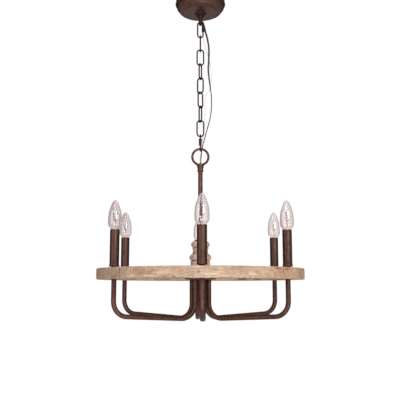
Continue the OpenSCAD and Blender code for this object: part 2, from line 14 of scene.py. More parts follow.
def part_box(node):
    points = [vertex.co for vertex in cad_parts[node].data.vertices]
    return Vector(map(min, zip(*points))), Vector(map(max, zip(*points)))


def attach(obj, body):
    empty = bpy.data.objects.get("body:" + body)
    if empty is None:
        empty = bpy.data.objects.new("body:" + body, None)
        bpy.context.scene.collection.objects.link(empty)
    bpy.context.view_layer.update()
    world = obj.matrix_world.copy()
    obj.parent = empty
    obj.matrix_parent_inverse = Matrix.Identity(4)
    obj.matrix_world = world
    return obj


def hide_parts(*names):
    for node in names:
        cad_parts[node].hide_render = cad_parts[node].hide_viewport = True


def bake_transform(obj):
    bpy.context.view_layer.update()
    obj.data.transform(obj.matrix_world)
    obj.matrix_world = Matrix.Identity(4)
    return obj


MM = 0.001
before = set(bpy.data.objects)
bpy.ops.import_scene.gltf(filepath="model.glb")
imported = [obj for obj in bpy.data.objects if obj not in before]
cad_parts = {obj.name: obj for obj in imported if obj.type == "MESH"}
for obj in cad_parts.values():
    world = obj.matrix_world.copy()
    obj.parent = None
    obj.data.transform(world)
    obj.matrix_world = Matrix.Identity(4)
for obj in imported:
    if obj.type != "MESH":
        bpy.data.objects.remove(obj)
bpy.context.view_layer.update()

# ---------------------------------------------------------------- sizes

CANDLES = range(1, 7)
LINKS = range(1, 10)
FELLOES = range(1, 5)


def low(node):
    """Lowest corner of a node's box."""
    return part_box(node)[0]


def high(node):
    """Highest corner of a node's box."""
    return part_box(node)[1]


RIM_R = high("felloe_2").x
RIM_W = 56 * MM
RIM_TOP = high("felloe_1").z
RIM_BOTTOM = low("felloe_1").z
CANDLE_R = RIM_R - RIM_W / 2
FOOT_TOP = high("candle_feet").z
DISH_TOP = high("candle_dishes").z
SLEEVE_TOP = high("sleeve_1").z
SLEEVE_R = (high("sleeve_1").x - low("sleeve_1").x) / 2

STEM_HOLE = 13.1 * MM
ROD_R = 6.6 * MM
ROD_BORE = 4.8 * MM
ROD_HOLE = 6.1 * MM

LINK_WIRE = 4.2 * MM
LINK_L = high("link_2").z - low("link_2").z
LINK_TOP = high("link_1").z
LINK_PITCH = LINK_TOP - high("link_2").z
LINK_YAW = [0, 90, 0, 68, -33, 47, -69, 0, 90]

ARM_R = 12.7 / 2 * MM
ARM_BEND_R = 40 * MM
ARM_OUTER_DROP = 96 * MM
ARM_INNER_DROP = 108.5 * MM
ARM_RING_R = 24 * MM
ARM_TURN = math.radians(20.6)


# ---------------------------------------------------------------- shapes


def circle(radius, sides):
    """Points of a circle."""
    turns = [2 * math.pi * k / sides for k in range(sides)]
    return [(radius * math.cos(a), radius * math.sin(a)) for a in turns]


def pressed_circle(radius, sides):
    """Points of a round tube's outline after bending: its four sides pressed a little flat."""
    flat = 2.5
    points = []
    for x, y in circle(1.0, sides):
        stretch = (abs(x) ** flat + abs(y) ** flat) ** (-1 / flat)
        points.append((radius * x * stretch, radius * y * stretch))
    return points


def arc(x, y, radius, start, end, steps=8):
    """Points of an arc about (x, y), from one angle to another, in degrees."""
    turns = [math.radians(start + (end - start) * k / steps) for k in range(steps + 1)]
    return [(x + radius * math.cos(a), y + radius * math.sin(a)) for a in turns]


def above(z, *points):
    """Points given in millimetres, as radius and height above z, in metres."""
    return [(r * MM, z + height * MM) for r, height in points]


def smooth(points, steps):
    """Smooth curve through points, with steps pieces between each two of them."""
    points = [Vector(p) for p in points]
    last = len(points) - 1
    curve = []
    for i in range(last):
        a, b = points[max(i - 1, 0)], points[i]
        c, d = points[i + 1], points[min(i + 2, last)]
        for k in range(steps):
            t = k / steps
            curve.append(
                b + (c - a) * t / 2 + (2 * a - 5 * b + 4 * c - d) * t * t / 2
                + (3 * b - a - 3 * c + d) * t**3 / 2
            )
    return curve + [points[last]]


def solid(name, corners, faces, crease=35):
    """A mesh object with smooth faces and edges kept sharp over crease degrees."""
    mesh = bpy.data.meshes.new(name)
    mesh.from_pydata([tuple(c) for c in corners], [], faces)
    work = bmesh.new()
    work.from_mesh(mesh)
    bmesh.ops.remove_doubles(work, verts=work.verts, dist=1e-7)
    bmesh.ops.recalc_face_normals(work, faces=work.faces)
    work.to_mesh(mesh)
    work.free()
    mesh.shade_smooth()
    mesh.set_sharp_from_angle(angle=math.radians(crease))
    piece = bpy.data.objects.new(name, mesh)
    bpy.context.scene.collection.objects.link(piece)
    return piece


def rings_to_faces(rings, sides, closed):
    """Faces between neighbouring rings of corners, with end caps where the row is open."""
    count = len(rings)
    corners = [c for ring in rings for c in ring]
    faces = []
    for i in range(count if closed else count - 1):
        j = (i + 1) % count
        for k in range(sides):
            m = (k + 1) % sides
            faces.append((i * sides + k, i * sides + m, j * sides + m, j * sides + k))
    if not closed:
        faces.append(tuple(range(sides)))
        faces.append(tuple(range((count - 1) * sides, count * sides)))
    return corners, faces


def lathe(name, profile, at=(0, 0), steps=96, closed=False, crease=35):
    """A turned form about the vertical through at. The profile's points are (radius, height)."""
    count = len(profile)
    corners = []
    for k in range(steps):
        a = 2 * math.pi * k / steps
        corners += [(at[0] + r * math.cos(a), at[1] + r * math.sin(a), z) for r, z in profile]
    edges = [(i, (i + 1) % count) for i in range(count if closed else count - 1)]
    off_axis = [(i, j) for i, j in edges if profile[i][0] > 0 or profile[j][0] > 0]
    faces = []
    for k in range(steps):
        m = (k + 1) % steps
        for i, j in off_axis:
            faces.append((k * count + i, m * count + i, m * count + j, k * count + j))
    return solid(name, corners, faces, crease)


def inner_wall(outline, wall):
    """The inside of a turned shell whose outline runs up to the axis, a wall thick."""
    inside = []
    for i, (r, z) in enumerate(outline[:-1]):
        r0, z0 = outline[max(i - 1, 0)]
        r1, z1 = outline[i + 1]
        reach = math.hypot(r1 - r0, z1 - z0)
        at = (r - wall * (z1 - z0) / reach, z + wall * (r1 - r0) / reach)
        if at[0] > 0 and (not inside or at[1] > inside[-1][1]):
            inside.append(at)
    return inside + [(0, outline[-1][1] - wall)]


def sweep(name, path, section, wide, closed=False, crease=50):
    """A section swept along a path. wide gives, at each point, where the section's first axis
    points, and section is a list of points or a function of the point's number."""
    count = len(path)
    rings = []
    for i, at in enumerate(path):
        before = path[i - 1] if closed or i > 0 else at
        after = path[(i + 1) % count] if closed or i < count - 1 else at
        along = (after - before).normalized()
        u = (wide[i] - along * wide[i].dot(along)).normalized()
        v = along.cross(u)
        shape = section(i) if callable(section) else section
        rings.append([at + u * a + v * b for a, b in shape])
    corners, faces = rings_to_faces(rings, len(rings[0]), closed)
    return solid(name, corners, faces, crease)


def roughen(piece, size, depth):
    """Moves the surface in and out by up to depth, in soft lumps of that size."""
    for corner in piece.data.vertices:
        lump = noise.noise(corner.co / size)
        corner.co += corner.normal * depth * (lump - 0.5)


def place(piece, body, finish, slot, *nodes):
    """Gives a piece its finish and its body, and hides the nodes that it stands for."""
    piece.data.materials.clear()
    piece.data.materials.append(finish)
    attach(piece, body)
    if nodes:
        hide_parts(*nodes)
    return piece


# ---------------------------------------------------------------- camera, light, backdrop

CAMERA_DISTANCE = 1757 * MM
CAMERA_HEIGHT = -861.5 * MM
CAMERA_PITCH = math.radians(8.18)
CAMERA_TURN = math.radians(0.8)
CAMERA_LEFT = 1.1 * MM
FOCAL_SHARE = 618.7 / 400
FILM_WIDTH = 36


def camera():
    """The photograph's camera: below the wheel's middle, looking up a little."""
    data = bpy.data.cameras.new("camera")
    data.sensor_width = FILM_WIDTH
    data.lens = FILM_WIDTH * FOCAL_SHARE
    data.clip_end = 50
    eye = bpy.data.objects.new("camera", data)
    eye.location = (
        -CAMERA_DISTANCE * math.sin(CAMERA_TURN) - CAMERA_LEFT,
        -CAMERA_DISTANCE * math.cos(CAMERA_TURN),
        CAMERA_HEIGHT,
    )
    eye.rotation_euler = (math.pi / 2 + CAMERA_PITCH, 0, -CAMERA_TURN)
    bpy.context.scene.collection.objects.link(eye)
    bpy.context.scene.camera = eye


def softbox(name, place_at, aim, size, power, tint="#ffffff"):
    """A square soft light."""
    data = bpy.data.lights.new(name, "AREA")
    data.size = size
    data.energy = power
    data.color = linear(tint)[:3]
    lamp = bpy.data.objects.new(name, data)
    lamp.location = place_at
    lamp.rotation_euler = (Vector(aim) - Vector(place_at)).to_track_quat("-Z", "Y").to_euler()
    bpy.context.scene.collection.objects.link(lamp)


def seen_white(tree):
    """1 for what the camera sees, straight or through glass, and 0 for what lights the object."""
    path = add(tree, "LightPath")
    straight, through = path.outputs["Is Camera Ray"], path.outputs["Is Transmission Ray"]
    return add(tree, "Math", {"operation": "MAXIMUM"}, {0: straight, 1: through}).outputs["Value"]


def studio():
    """White surround, four soft lights in front and a pale floor well below the wheel. What the
    surround throws on the object is bright in front and fades to a dim brown behind and at the
    left, which keeps the edges of the tubes dark, and glass at the left shows it a little grey."""
    world = bpy.data.worlds.new("studio")
    world.use_nodes = True
    tree = world.node_tree
    toward = add(tree, "TexCoord").outputs["Generated"]
    front = (0.30, -0.85, 0.30)
    facing = add(tree, "VectorMath", {"operation": "DOT_PRODUCT"}, {0: toward, 1: front})
    share = add(tree, "MapRange", None, {"Value": facing.outputs["Value"], "From Min": -1.0, "From Max": 1.0})
    wall = add(tree, "ValToRGB", {"stops": [(0.0, "#241c19"), (0.55, "#453c38"), (1.0, "#fffaf6")]},
               {"Fac": share})
    across = add(tree, "SeparateXYZ", None, {"Vector": toward}).outputs["X"]
    through_glass = add(tree, "MapRange", None, {"Value": across, "From Min": -0.13, "From Max": -0.04,
                                                 "To Min": 0.68, "To Max": 1.0})
    straight = add(tree, "LightPath").outputs["Is Camera Ray"]
    white = add(tree, "Math", {"operation": "MAXIMUM"}, {0: straight, 1: through_glass})
    colour = add(tree, "Mix", {"data_type": "RGBA"},
                 {"Factor": seen_white(tree), 6: wall, 7: white})
    background = tree.nodes["Background"]
    tree.links.new(colour.outputs[2], background.inputs["Color"])
    background.inputs["Strength"].default_value = 1.0
    bpy.context.scene.world = world
    bpy.context.scene.view_settings.view_transform = "Standard"
    middle = (0, 0, -0.7)
    softbox("key", (1.1, -2.6, 0.3), middle, 1.2, 42)
    softbox("fill", (-2.0, -1.7, -0.1), middle, 1.6, 24, "#fff3ea")
    softbox("top", (0.2, -0.6, 1.6), middle, 1.6, 18)
    softbox("low", (0.3, -1.5, -1.65), (0, 0, -0.1), 1.0, 20)
    floor_z = -1.75
    reach = 9
    corners = [(-reach, -reach), (reach, -reach), (reach, reach), (-reach, reach)]
    floor = solid("floor", [(x, y, floor_z) for x, y in corners], [(0, 1, 2, 3)])
    floor.data.materials.append(paper_white())


# ---------------------------------------------------------------- materials


def linear(hex_colour):
    """An sRGB hex colour as linear red, green, blue and 1."""
    channels = [int(hex_colour[k : k + 2], 16) / 255 for k in (1, 3, 5)]
    return tuple(c / 12.92 if c <= 0.04045 else ((c + 0.055) / 1.055) ** 2.4 for c in channels) + (1,)


def add(tree, kind, settings=None, inputs=None):
    """Adds a node. settings are its own properties, with stops for a ramp's (place, colour)
    pairs, and inputs are values, sockets or nodes, whose first output counts, by name or number."""
    node = tree.nodes.new("ShaderNode" + kind)
    for key, value in (settings or {}).items():
        if key == "stops":
            ramp = node.color_ramp
            while len(ramp.elements) < len(value):
                ramp.elements.new(1.0)
            for element, (spot, tone) in zip(ramp.elements, value):
                element.position = spot
                element.color = linear(tone) if isinstance(tone, str) else (tone,) * 3 + (1,)
        else:
            setattr(node, key, value)
    for key, value in (inputs or {}).items():
        if isinstance(value, bpy.types.Node):
            value = value.outputs[0]
        if isinstance(value, bpy.types.NodeSocket):
            tree.links.new(value, node.inputs[key])
        else:
            node.inputs[key].default_value = value
    return node


def new_material(name):
    """An empty material: its node tree and its output."""
    material = bpy.data.materials.new(name)
    material.use_nodes = True
    tree = material.node_tree
    tree.nodes.clear()
    return material, tree, add(tree, "OutputMaterial")


def shade(tree, out, settings):
    """The surface shader, joined to the output."""
    shader = add(tree, "BsdfPrincipled", None, settings)
    tree.links.new(shader.outputs["BSDF"], out.inputs["Surface"])


def paper_white():
    """Backdrop paper: it shows as plain white, and throws only a little light upward."""
    material, tree, out = new_material("backdrop_paper")
    level = add(tree, "MapRange", None, {"Value": seen_white(tree), "To Min": 0.75, "To Max": 1.0})
    glow = add(tree, "Emission", None, {"Color": linear("#ffffff"), "Strength": level})
    tree.links.new(glow.outputs["Emission"], out.inputs["Surface"])
    return material


def bronze_coat(name, dark, middle, light, worn, rough=0.5):
    """Steel with a baked rust-brown coat: matt, mottled in patches a thumb wide, with a fine
    orange-peel grit and lighter rubbed streaks."""
    patch = 14 * MM
    grit = 0.7 * MM
    streak_width = 3 * MM
    material, tree, out = new_material(name)
    spot = add(tree, "TexCoord").outputs["Object"]
    mottle = add(tree, "TexNoise", None,
                 {"Vector": spot, "Scale": 1 / patch, "Detail": 5.0, "Roughness": 0.6})
    tone = add(tree, "ValToRGB", {"stops": [(0.30, dark), (0.52, middle), (0.74, light)]},
               {"Fac": mottle})
    stretched = add(tree, "Mapping", None, {"Vector": spot, "Scale": (1, 1, 0.12)})
    streak = add(tree, "TexNoise", None,
                 {"Vector": stretched, "Scale": 1 / streak_width, "Detail": 3.0})
    rubbed = add(tree, "ValToRGB", {"stops": [(0.56, 0.0), (0.74, 0.55)]}, {"Fac": streak})
    coat = add(tree, "Mix", {"data_type": "RGBA"},
               {"Factor": rubbed, 6: tone, 7: linear(worn)})
    peel = add(tree, "TexNoise", None, {"Vector": spot, "Scale": 1 / grit, "Detail": 2.0})
    relief = add(tree, "Bump", None, {"Height": peel, "Strength": 0.18, "Distance": 0.15 * MM})
    gloss = add(tree, "MapRange", None,
                {"Value": mottle, "To Min": rough - 0.08, "To Max": rough + 0.12})
    shade(tree, out, {
        "Base Color": coat.outputs[2], "Metallic": 0.8, "Roughness": gloss,
        "Normal": relief,
    })
    return material


def sawn_wood(name, pale, middle, dark, line, pore, ring_gap=5.5 * MM, painted_side_light=None, marks=()):
    """Weathered, brushed softwood: pale boards with blurred year rings a few millimetres apart,
    blotches a finger wide, short streaks, faint saw lines across the board in places, and fine
    dark pores drawn out along the grain. Matt, with a slightly raised grain. It reads the grain
    attribute, whose first axis runs along the board."""
    blotch = 30 * MM
    fleck = 5 * MM
    pore_width = 0.9 * MM
    saw_gap = 3.2 * MM
    one_ring = 0.314  # a wave node's scale for one wave to the metre
    material, tree, out = new_material(name)
    grain = add(tree, "Attribute", {"attribute_name": "grain"}).outputs["Vector"]

    def along(stretch):
        return add(tree, "Mapping", None, {"Vector": grain, "Scale": (stretch, 1, 1)}).outputs["Vector"]

    warp = add(tree, "TexNoise", None, {"Vector": along(0.10), "Scale": 1 / (45 * MM), "Detail": 2.0})
    shift = add(tree, "VectorMath", {"operation": "MULTIPLY_ADD"},
                {0: warp.outputs["Color"], 1: (0, 26 * MM, 26 * MM), 2: grain})
    rings = add(tree, "TexWave", {"wave_type": "RINGS", "rings_direction": "X", "wave_profile": "SAW"},
                {"Vector": shift, "Scale": one_ring / ring_gap, "Distortion": 2.2,
                 "Detail": 3.0, "Detail Scale": 2.0})
    year = add(tree, "ValToRGB", {"stops": [(0.0, pale), (0.62, middle), (0.90, line), (1.0, middle)]},
               {"Fac": rings.outputs["Fac"]})
    patch = add(tree, "TexNoise", None,
                {"Vector": along(0.22), "Scale": 1 / blotch, "Detail": 4.0, "Roughness": 0.62})
    worn = add(tree, "ValToRGB", {"stops": [(0.32, dark), (0.50, middle), (0.72, pale)]},
               {"Fac": patch})
    wood = add(tree, "Mix", {"data_type": "RGBA"},
               {"Factor": 0.28, 6: worn, 7: year})
    flecks = add(tree, "TexNoise", None,
                 {"Vector": along(0.38), "Scale": 1 / fleck, "Detail": 5.0, "Roughness": 0.72})
    light = add(tree, "MapRange", None, {"Value": flecks, "From Min": 0.3, "From Max": 0.7,
                                         "To Min": 0.62, "To Max": 1.38})
    speckled = add(tree, "VectorMath", {"operation": "SCALE"},
                   {0: wood.outputs[2], "Scale": light})
    saw = add(tree, "TexWave", {"wave_type": "BANDS", "bands_direction": "X", "wave_profile": "SIN"},
              {"Vector": grain, "Scale": one_ring / saw_gap, "Distortion": 0.6, "Detail": 1.0})
    sawn_spots = add(tree, "TexNoise", None, {"Vector": grain, "Scale": 1 / (60 * MM), "Detail": 1.0})
    where = add(tree, "MapRange", None, {"Value": sawn_spots, "From Min": 0.55,
                                         "From Max": 0.68, "To Min": 0.0, "To Max": 0.22})
    cut = add(tree, "Math", {"operation": "MULTIPLY"}, {0: saw.outputs["Fac"], 1: where})
    scored = add(tree, "Mix", {"data_type": "RGBA"},
                 {"Factor": cut, 6: speckled, 7: linear(line)})
    pores = add(tree, "TexNoise", None,
                {"Vector": along(0.06), "Scale": 1 / pore_width, "Detail": 3.0, "Roughness": 0.7})
    dots = add(tree, "ValToRGB", {"stops": [(0.58, 0.0), (0.76, 0.7)]}, {"Fac": pores})
    colour = add(tree, "Mix", {"data_type": "RGBA"},
                 {"Factor": dots, 6: scored.outputs[2], 7: linear(pore)}).outputs[2]
    # Painted light and shade: where given, the colour is multiplied by a tint that runs across the wheel from
    # left to right.
    if painted_side_light:
        across = add(tree, "SeparateXYZ", None, {"Vector": add(tree, "TexCoord").outputs["Object"]})
        share = add(tree, "MapRange", None,
                    {"Value": across.outputs["X"], "From Min": -RIM_R, "From Max": RIM_R})
        tint = add(tree, "ValToRGB", {"stops": painted_side_light}, {"Fac": share})
        colour = add(tree, "Mix", {"data_type": "RGBA", "blend_type": "MULTIPLY"},
                     {"Factor": 1.0, 6: colour, 7: tint}).outputs[2]
    # Knots, streaks and stains, and on the rim also painted shade along the front boards' lower edge.
    for mark in marks:
        colour = stain_and_shade(tree, colour, *mark)
    lift = add(tree, "Math", {"operation": "MULTIPLY_ADD"},
               {0: rings.outputs["Fac"], 1: 0.5, 2: pores})
    relief = add(tree, "Bump", {"invert": True},
                 {"Height": lift, "Strength": 0.35, "Distance": 0.3 * MM})
    shade(tree, out, {"Base Color": colour, "Roughness": 0.78, "Specular IOR Level": 0.3,
                      "Normal": relief})
    return material


def stain_and_shade(tree, colour, at, reach, shade_hex, strength):
    """A knot, streak or stain, or a patch of painted shade, at one place: at and reach in millimetres, with a
    ragged edge.
    """
    ragged_edge = 3 * MM
    spot = add(tree, "TexCoord").outputs["Object"]
    ragged = add(tree, "TexNoise", None, {"Vector": spot, "Scale": 1 / ragged_edge, "Detail": 3.0})
    reach = Vector(reach) * MM
    moved = add(tree, "VectorMath", {"operation": "MULTIPLY_ADD"},
                {0: ragged.outputs["Color"], 1: reach * 0.9, 2: spot})
    centred = add(tree, "Mapping", {"vector_type": "TEXTURE"},
                  {"Vector": moved, "Location": Vector(at) * MM + reach * 0.45,
                   "Scale": reach})
    distance = add(tree, "VectorMath", {"operation": "LENGTH"}, {0: centred})
    inside = add(tree, "MapRange", {"interpolation_type": "SMOOTHSTEP"},
                 {"Value": distance.outputs["Value"], "From Min": 1.0, "From Max": 0.3, "To Min": 0.0,
                  "To Max": strength})
    return add(tree, "Mix", {"data_type": "RGBA"},
               {"Factor": inside, 6: colour, 7: linear(shade_hex)}).outputs[2]


def on_front(x, z):
    """A place on the rim's outer face in front, in millimetres."""
    outer = 290
    return (x, -math.sqrt(outer**2 - x**2), z)


def on_far(x, z):
    """A place on the rim's inner face at the far side, in millimetres."""
    inner = 234
    return (x, math.sqrt(inner**2 - x**2), z)


def clear_glass(name, face, edge):
    """Blown soda-lime glass: smooth and thin, with a grey-pink cast that deepens toward its
    edges, where the eye looks through more of the wall."""
    material, tree, out = new_material(name)
    slant = add(tree, "LayerWeight", None, {"Blend": 0.35})
    cast = add(tree, "ValToRGB", {"stops": [(0.15, face), (0.85, edge)]}, {"Fac": slant.outputs["Facing"]})
    shade(tree, out, {"Base Color": cast, "Transmission Weight": 1.0, "Roughness": 0.02,
                      "IOR": 1.5})
    return material


def plain_metal(name, tone, rough, metallic=1.0):
    """Bare or plated metal: its tone drifts a little, and its gloss varies with it."""
    grain = 1.5 * MM
    material, tree, out = new_material(name)
    spot = add(tree, "TexCoord").outputs["Object"]
    drift = add(tree, "TexNoise", None, {"Vector": spot, "Scale": 1 / grain, "Detail": 4.0})
    dull = add(tree, "ValToRGB", {"stops": [(0.35, 0.72), (0.65, 1.0)]}, {"Fac": drift})
    colour = add(tree, "Mix", {"data_type": "RGBA", "blend_type": "MULTIPLY"},
                 {"Factor": 1.0, 6: linear(tone), 7: dull})
    gloss = add(tree, "MapRange", None,
                {"Value": drift, "To Min": rough - 0.08, "To Max": rough + 0.12})
    shade(tree, out, {"Base Color": colour.outputs[2], "Metallic": metallic,
                      "Roughness": gloss})
    return material


def moulded_plastic(name, tone, deep, rough=0.45, clear=0.0):
    """Extruded or moulded plastic: even tone with faint drifts, and a soft sheen."""
    material, tree, out = new_material(name)
    spot = add(tree, "TexCoord").outputs["Object"]
    drift = add(tree, "TexNoise", None, {"Vector": spot, "Scale": 1 / (6 * MM), "Detail": 3.0})
    colour = add(tree, "ValToRGB", {"stops": [(0.35, deep), (0.65, tone)]}, {"Fac": drift})
    shade(tree, out, {"Base Color": colour, "Roughness": rough,
                      "Transmission Weight": clear})
    return material


def glazed_porcelain():
    """Fired and glazed porcelain: warm white under a clear gloss."""
    material, tree, out = new_material("glazed_porcelain")
    spot = add(tree, "TexCoord").outputs["Object"]
    drift = add(tree, "TexNoise", None, {"Vector": spot, "Scale": 1 / (5 * MM)})
    colour = add(tree, "ValToRGB", {"stops": [(0.3, "#ddd8ca"), (0.7, "#f0ece2")]},
                 {"Fac": drift})
    shade(tree, out, {"Base Color": colour, "Roughness": 0.25, "Coat Weight": 0.6})
    return material


BRONZE = bronze_coat("rust_brown_coat", "#412a24", "#52372e", "#613f36", "#7d5648", 0.42)
CHAIN_BRONZE = bronze_coat("chain_coat", "#201210", "#321e18", "#472b23", "#5c382d", 0.45)
SLEEVE_BRONZE = bronze_coat("candle_sleeve_coat", "#3c2822", "#4a352d", "#553d34", "#694a3f", 0.42)
ZINC = plain_metal("zinc_plate", "#b9b8b2", 0.35)
BRASS = plain_metal("drawn_brass", "#c8a45e", 0.3)
SOLDER = plain_metal("tin_solder", "#a9a7a3", 0.4)
TUNGSTEN = plain_metal("tungsten_wire", "#6d6763", 0.4)
GREEN_PLATE = plain_metal("green_plated_screw", "#2f7a43", 0.4, 0.6)
GLASS = clear_glass("blown_glass", "#f1eae9", "#b5aaa8")
STEM_GLASS = clear_glass("lead_glass_stem", "#e4dada", "#b0a4a4")
PORCELAIN = glazed_porcelain()
INSULATOR = moulded_plastic("black_glass_insulator", "#1a1716", "#0f0d0c", 0.3)
LEAD_PVC = moulded_plastic("brown_lead_pvc", "#35211f", "#261513", 0.5)
WIRE_PVC = moulded_plastic("clear_wire_pvc", "#efe3df", "#e0cfca", 0.3, 0.6)
# Painted light and shade across the wheel: the boards at the left are painted a little greyer and darker,
# those at the right warmer, as the light falls on them.
RIM_PAINTED_SIDE_LIGHT = [(0.0, "#e0d8d4"), (0.5, "#eaeaea"), (1.0, "#ecdecc")]
# Knots, streaks and stains, and two strips of painted shade along the front boards' lower edge: place, reach,
# tone and strength.
FRONT_STAINS_AND_SHADE = [
    ((-9, -821.5), (3.4, 6, 3.6), "#64402f", 0.95),
    ((-72, -811), (50, 30, 5.0), "#a37a58", 0.6),
    ((-98, -823), (40, 12, 7), "#c4aea2", 0.5),
    ((-172, -829), (16, 12, 5), "#cdb9ac", 0.5),
    # Painted shade: these two darken the front boards' lower edge and underside, where shadow falls.
    ((-60, -835.8), (200, 110, 1.6), "#7d5d4a", 0.6),
    ((120, -835.8), (150, 70, 1.4), "#8a6750", 0.5),
    ((-68, -832), (5, 6, 2.6), "#6c4a38", 0.8),
    ((73, -810), (4, 6, 2.6), "#7c5642", 0.8),
    ((108, -814), (30, 14, 5), "#a8866d", 0.6),
    ((122, -826), (24, 12, 3.4), "#cdb8a2", 0.6),
    ((190, -811), (19, 20, 5.5), "#8d5636", 0.85),
    ((214, -812), (15, 20, 5.0), "#875232", 0.85),
    ((205, -821), (1.6, 1.6, 20), "#5f3e2c", 0.9),
    ((-206, -821), (2.2, 1.6, 24), "#5f4030", 0.9),
    ((-160, -818), (26, 20, 5), "#967260", 0.45),
    ((-248, -821), (22, 40, 22), "#967662", 0.4),
    ((-125, -830), (44, 24, 2.6), "#cdbba9", 0.6),
    ((20, -826), (34, 6, 4), "#c9b49c", 0.5),
]
# Darker and paler patches low on the far boards' inner face: place, reach, tone and strength.
FAR_MARKS = [
    ((135, -831), (36, 22, 4), "#5a3622", 0.9),
    ((178, -832), (16, 18, 4), "#724b34", 0.8),
    ((-200, -831), (28, 28, 5), "#966a4a", 0.7),
    ((-105, -832), (20, 10, 4), "#966f52", 0.6),
    ((60, -832), (26, 10, 4), "#b08a69", 0.6),
]
RIM_STAINS_AND_SHADE = [(on_front(*spot), *mark) for spot, *mark in FRONT_STAINS_AND_SHADE]
RIM_STAINS_AND_SHADE += [(on_far(*spot), *mark) for spot, *mark in FAR_MARKS]
HUB_MARKS = [
    ((-16, -14, -761), (7, 8, 4), "#6b4a3c", 0.75),
    ((-29, -8, -785), (6, 14, 7), "#7d5a49", 0.7),
    ((22, -12, -745), (7, 9, 6), "#b48a64", 0.6),
]
RIM_WOOD = sawn_wood("weathered_rim_boards", "#c6b09c", "#b39a85", "#9c8270", "#8b7160", "#725544",
                     painted_side_light=RIM_PAINTED_SIDE_LIGHT, marks=RIM_STAINS_AND_SHADE)
HUB_WOOD = sawn_wood("turned_hub_wood", "#cbb0a2", "#b6988a", "#98796b", "#876759", "#6d5147",
                     ring_gap=3.4 * MM, marks=HUB_MARKS)
DOWEL_WOOD = sawn_wood("beech_dowel", "#d6b58c", "#caa67c", "#b48d64", "#a98058", "#8f6b49")

# ---------------------------------------------------------------- leads

SUPPLY_ROUTE = [
    (0, 0.9, -1), (0, 0.9, -26), (0, 0.9, -50), (1.5, 1.9, -60), (6.6, 5, -68), (11, 6.6, -80),
    (15, 5.6, -98), (21, 2.5, -123), (25.3, 0, -155), (24.6, 0, -195), (23.5, 0, -222),
    (27, 0, -258), (32, 0, -298), (32.4, 0, -335), (28.4, 0, -368), (20.4, 0, -398),
    (12, -2, -430), (6.6, -5.4, -450), (4.4, -6.8, -462), (3.4, -5.4, -472), (1.4, -1.4, -490),
    (0.9, 0, -503), (0.9, 0, -525), (0.9, 0, -580), (0.9, 0, -700), (0.9, 0, -820),
]
GROUND_ROUTE = [
    (0, -1.6, -1), (0, -1.6, -26), (0, -1.6, -50), (1.2, -2.2, -59), (4.4, 0.4, -65),
    (4.8, 3.6, -71.5), (5.2, 6.4, -82), (6, 6, -98), (8.4, 4.8, -116), (11.6, 3.2, -135),
    (17.5, 3, -160), (23, 3.8, -176), (28.7, 3.6, -200), (32.5, 3.4, -225), (31.8, 4, -252),
    (28.5, 4.6, -277), (17.9, 3, -293), (13.2, 2, -310), (12.4, 1.6, -326), (14.2, 2, -345),
    (12.8, 3.8, -377), (11, 4.4, -400), (6.4, 3.2, -428), (3.5, 3, -446), (3.5, 5, -460),
    (1.4, 3.6, -474), (-1.4, 1.2, -488), (-1.6, 0, -502), (-1.6, 0, -525), (-1.6, 0, -580),
    (-1.6, 0, -700), (-1.6, 0, -820),
]
LEAD_W = 5.4 * MM
LEAD_T = 2.8 * MM
GROUND_D = 1.8 * MM
ROUTE_STEPS = 6


def lead_turn(z):
    """Turn of the flat lead's wide side: it faces the front above and turns edge-on below."""
    return math.radians(90 * min(max((-195 * MM - z) / (100 * MM), 0), 1))


def twin_section(sides=10):
    """Two round cores side by side, moulded together."""
    r = LEAD_T / 2
    half = LEAD_W / 2 - r
    right = arc(half, 0, r, -120, 120, sides)
    return right + [(-x, -y) for x, y in right]


def lead(name, route, section, finish, node):
    """A lead beside the chain, in lengths cut at the middle of each link."""
    curve = smooth([Vector(p) * MM for p in route], ROUTE_STEPS)
    pivots = [low("hanger_loop").z] + [low(f"link_{k}").z for k in LINKS]
    seams = [LINK_TOP - (k - 1) * LINK_PITCH - LINK_L / 2 for k in LINKS]
    ends = [0] + [cut_at(curve, z) for z in seams] + [len(curve) - 1]
    for k, pivot in enumerate(pivots):
        path = curve[ends[k] : ends[k + 1] + 1]
        wide = [Vector((math.cos(lead_turn(p.z)), math.sin(lead_turn(p.z)), 0)) for p in path]
        piece = sweep(f"{name}_{k + 1}", path, section, wide)
        piece.data.materials.append(finish)
        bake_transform(piece)
        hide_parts(node)


def cut_at(curve, z):
    """Number of the curve's point at height z, put there if it is missing."""
    for i in range(1, len(curve)):
        a, b = curve[i - 1], curve[i]
        if a.z >= z > b.z:
            if a.z - z < 0.3 * MM:
                return i - 1
            if z - b.z > 0.3 * MM:
                curve.insert(i, a.lerp(b, (a.z - z) / (a.z - b.z)))
            return i
    raise ValueError("the lead does not reach that height")


# ---------------------------------------------------------------- hanger and canopy


def canopy():
    """Spun sheet canopy with a groove, a bead, a stepped shoulder and a rolled edge."""
    deeper = 1.5 * MM  # the sheet reaches this far below the solid, as the eye sees it
    top, bottom = high("canopy").z, low("canopy").z - deeper
    r = 74.5 * MM
    wall = 1.2 * MM
    h = top - bottom
    outside = [(STEM_HOLE, bottom), (r - 26 * MM, bottom)]
    outside += arc(r - 24.5 * MM, bottom + 1.2 * MM, 1.2 * MM, 270, 330, 4)
    outside += [(r - 23 * MM, bottom + 1.9 * MM)]
    outside += arc(r - 19 * MM, bottom + 3.4 * MM, 2.4 * MM, 205, 340, 10)
    outside += [(r - 14.6 * MM, bottom + 3.5 * MM), (r - 13.2 * MM, bottom + 4.0 * MM)]
    outside += [(r - 11.8 * MM, bottom + 5.4 * MM)]
    outside += arc(r - 23.2 * MM, bottom + 25 * MM, 21 * MM, -46, -8, 10)
    outside += arc(r - 4 * MM, top - 0.38 * h, 4 * MM, -35, 62, 10)
    outside += [(r - 1.9 * MM, top - 0.2 * h), (r - 1.6 * MM, top)]
    inside = [(max(x - wall, STEM_HOLE), min(z + wall, top)) for x, z in reversed(outside)]
    piece = lathe("canopy_shell", outside + inside, closed=True, steps=160)
    place(piece, "canopy", BRONZE, "bronze", "canopy")


